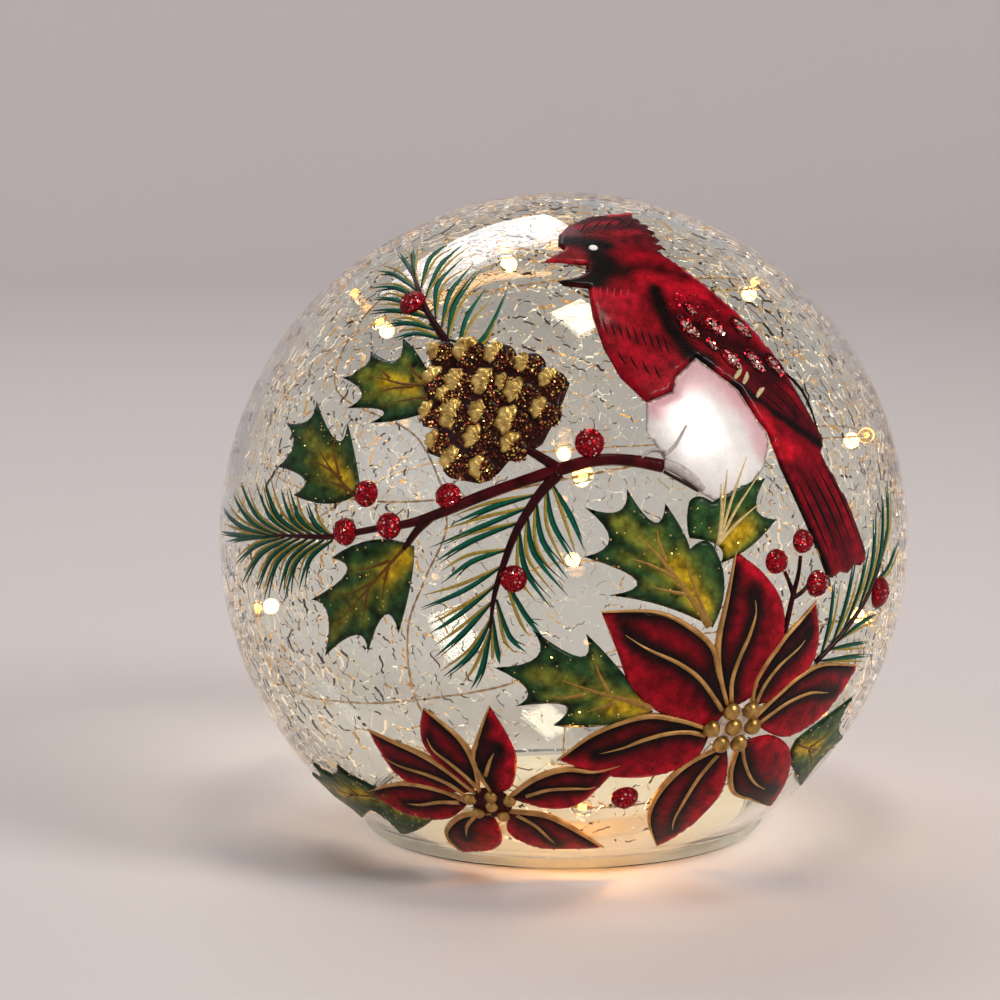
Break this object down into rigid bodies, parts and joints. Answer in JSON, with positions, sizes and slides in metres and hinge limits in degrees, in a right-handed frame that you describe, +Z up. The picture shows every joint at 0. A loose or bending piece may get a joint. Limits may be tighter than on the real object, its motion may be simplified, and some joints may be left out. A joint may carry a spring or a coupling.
{
  "type": "lit glass ball ornament",
  "caption": "Clear crackle-glass ball with raised painted winter birds and flowers, lit by small lights on a wire inside, on a flat plastic battery base.",
  "frame": {"origin": "middle of the underside, on the plane that the feet stand on", "axes": "+Z up; the painted side faces -Y; +X is to the right as seen from the painted side"},
  "size_m": [0.178, 0.18, 0.1645],
  "materials": {
    "clear_glass": "clear, crackled inside the wall",
    "soft_rubber": "matt translucent",
    "cream_plastic": "satin moulded",
    "bright_steel": "bright",
    "board_green": "solder mask",
    "black_plastic": "matt",
    "copper_wire": "enamelled copper",
    "led_resin": "clear resin drop, lit warm white",
    "red_glitter": "red glitter under gloss",
    "gold_glitter": "gold paint with bronze glitter",
    "brown_enamel": "gloss enamel",
    "red_enamel": "gloss enamel",
    "green_enamel": "gloss enamel"
  },
  "bodies": {
    "ball": {"glass_globe": "clear_glass", "base_seal": "soft_rubber", "foot_1": "soft_rubber", "foot_2": "soft_rubber", "foot_3": "soft_rubber", "foot_4": "soft_rubber", "wire_grommet": "soft_rubber", "base_cover": "cream_plastic", "base_shell": "cream_plastic", "base_screw_1": "bright_steel", "base_screw_2": "bright_steel", "base_screw_3": "bright_steel", "coin_cell_1": "bright_steel", "coin_cell_2": "bright_steel", "contact_plus": "bright_steel", "contact_minus": "bright_steel", "timer_board": "board_green", "timer_chip": "black_plastic", "switch_body": "black_plastic", "light_wire": "copper_wire", "led_01": "led_resin", "led_02": "led_resin", "led_03": "led_resin", "led_04": "led_resin", "led_05": "led_resin", "led_06": "led_resin", "led_07": "led_resin", "led_08": "led_resin", "led_09": "led_resin", "led_10": "led_resin", "led_11": "led_resin", "led_12": "led_resin", "berry_01": "red_glitter", "berry_02": "red_glitter", "berry_03": "red_glitter", "berry_04": "red_glitter", "berry_05": "red_glitter", "berry_06": "red_glitter", "berry_07": "red_glitter", "berry_08": "red_glitter", "berry_09": "red_glitter", "berry_10": "red_glitter", "pinecone": "gold_glitter", "branch": "brown_enamel", "poinsettia_large": "red_enamel", "poinsettia_small": "red_enamel", "cardinal": "red_enamel", "holly_leaf_1": "green_enamel", "holly_leaf_2": "green_enamel", "holly_leaf_3": "green_enamel", "holly_leaf_4": "green_enamel", "holly_leaf_5": "green_enamel", "holly_leaf_6": "green_enamel", "holly_leaf_7": "green_enamel", "holly_leaf_8": "green_enamel"},
    "door": {"battery_door": "cream_plastic", "door_link": "bright_steel"},
    "door_screw_1": {"door_screw_1": "bright_steel"},
    "door_screw_2": {"door_screw_2": "bright_steel"},
    "switch": {"switch_knob": "black_plastic"}
  },
  "joints": [
    {"name": "door_lift", "type": "slide", "parent": "ball", "child": "door", "axis": [0, 0, -1], "range_m": [0, 0.03]},
    {"name": "door_screw_1_turn", "type": "hinge", "parent": "door", "child": "door_screw_1", "pos_m": [0, 0.001, 0.001], "axis": [0, 0, -1], "continuous": true},
    {"name": "door_screw_2_turn", "type": "hinge", "parent": "door", "child": "door_screw_2", "pos_m": [0, -0.017, 0.001], "axis": [0, 0, -1], "continuous": true},
    {"name": "switch_slide", "type": "slide", "parent": "ball", "child": "switch", "axis": [1, 0, 0], "range_m": [0, 0.004]}
  ]
}
